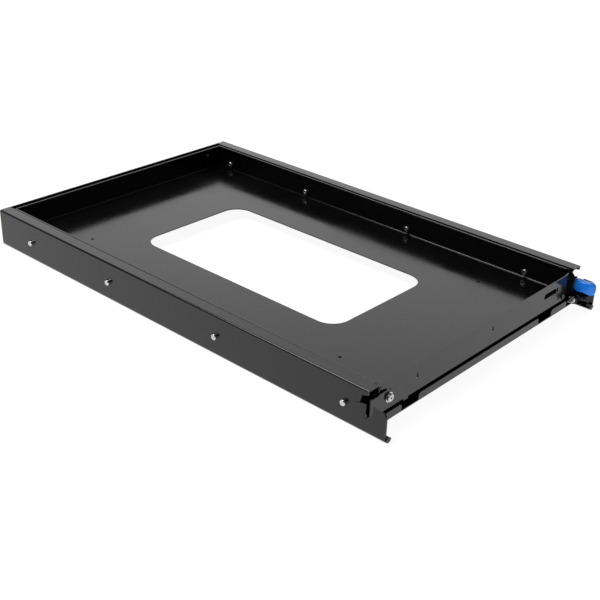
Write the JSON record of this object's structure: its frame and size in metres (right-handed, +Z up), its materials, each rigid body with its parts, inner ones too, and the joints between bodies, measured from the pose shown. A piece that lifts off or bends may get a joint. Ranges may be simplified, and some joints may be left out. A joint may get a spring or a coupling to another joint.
{
  "type": "slide-out equipment tray",
  "caption": "Low black steel tray with a windowed floor that slides out on ball-bearing rails, with a blue release lever at its front corner.",
  "frame": {"origin": "middle of the lowest plane of the whole assembly, tray closed", "axes": "+Z up, +Y towards the rear panel, +X to the right as seen by a person facing the open front; the tray slides out along -Y"},
  "size_m": [0.4536, 0.7164, 0.055],
  "materials": {
    "coated_steel": "smooth satin-gloss black coating",
    "slide_steel": "dark plated rolled steel",
    "retainer": "yellow passivated strip",
    "ball_steel": "polished bearing steel",
    "bright_zinc": "bright zinc plate",
    "spring_steel": "drawn spring wire",
    "blue_plastic": "glossy moulded plastic",
    "rubber": "matte moulded rubber",
    "nylon": "matte moulded nylon"
  },
  "bodies": {
    "base": {"outer_rail_left": "coated_steel", "outer_rail_right": "coated_steel", "rear_panel": "coated_steel", "rear_bumpers": "rubber", "slide_stops": "nylon", "front_crossbar": "coated_steel", "weld_beads": "coated_steel", "rail_studs_left": "bright_zinc", "rail_studs_right": "bright_zinc", "race_plugs": "nylon"},
    "tray": {"tray_floor": "coated_steel", "tray_wall_left": "coated_steel", "tray_wall_right": "coated_steel", "tray_wall_rear": "coated_steel", "front_wall": "coated_steel", "corner_plate": "coated_steel", "inner_member_left": "slide_steel", "inner_member_right": "slide_steel", "tray_screws_left": "bright_zinc", "tray_screws_right": "bright_zinc", "slide_nuts_left": "bright_zinc", "slide_nuts_right": "bright_zinc", "front_washer": "bright_zinc", "front_screw": "bright_zinc", "front_nut": "bright_zinc", "lever_bracket": "coated_steel", "tab_bracket": "coated_steel", "bracket_rivets": "bright_zinc", "lever_pivot_pin": "bright_zinc", "retaining_ring": "spring_steel", "lever_spring": "spring_steel"},
    "lever": {"lever_arm": "slide_steel", "lever_cap": "blue_plastic"},
    "middle_slide_left": {"middle_member_left": "slide_steel"},
    "outer_cage_left": {"outer_ball_cage_left": "retainer", "outer_balls_left": "ball_steel"},
    "inner_cage_left": {"inner_ball_cage_left": "retainer", "inner_balls_left": "ball_steel"},
    "middle_slide_right": {"middle_member_right": "slide_steel"},
    "outer_cage_right": {"outer_ball_cage_right": "retainer", "outer_balls_right": "ball_steel"},
    "inner_cage_right": {"inner_ball_cage_right": "retainer", "inner_balls_right": "ball_steel"}
  },
  "joints": [
    {"name": "tray_slide", "type": "slide", "parent": "base", "child": "tray", "axis": [0, -1, 0], "range_m": [0, 0.7]},
    {"name": "middle_slide_left_travel", "type": "slide", "parent": "base", "child": "middle_slide_left", "axis": [0, -1, 0], "range_m": [0, 0.35]},
    {"name": "outer_cage_left_travel", "type": "slide", "parent": "base", "child": "outer_cage_left", "axis": [0, -1, 0], "range_m": [0, 0.175]},
    {"name": "inner_cage_left_travel", "type": "slide", "parent": "base", "child": "inner_cage_left", "axis": [0, -1, 0], "range_m": [0, 0.525]},
    {"name": "middle_slide_right_travel", "type": "slide", "parent": "base", "child": "middle_slide_right", "axis": [0, -1, 0], "range_m": [0, 0.35]},
    {"name": "outer_cage_right_travel", "type": "slide", "parent": "base", "child": "outer_cage_right", "axis": [0, -1, 0], "range_m": [0, 0.175]},
    {"name": "inner_cage_right_travel", "type": "slide", "parent": "base", "child": "inner_cage_right", "axis": [0, -1, 0], "range_m": [0, 0.525]},
    {"name": "lever_press", "type": "hinge", "parent": "tray", "child": "lever", "pos_m": [0.211, -0.33185, 0.0134], "axis": [1, 0, 0], "range_deg": [0, 12], "stiffness_Nm_per_rad": 0.6, "springref_deg": -14.32}
  ],
  "couplings": [
    {"joint": "middle_slide_left_travel", "follows": "tray_slide", "ratio": 0.5},
    {"joint": "outer_cage_left_travel", "follows": "tray_slide", "ratio": 0.25},
    {"joint": "inner_cage_left_travel", "follows": "tray_slide", "ratio": 0.75},
    {"joint": "middle_slide_right_travel", "follows": "tray_slide", "ratio": 0.5},
    {"joint": "outer_cage_right_travel", "follows": "tray_slide", "ratio": 0.25},
    {"joint": "inner_cage_right_travel", "follows": "tray_slide", "ratio": 0.75}
  ]
}
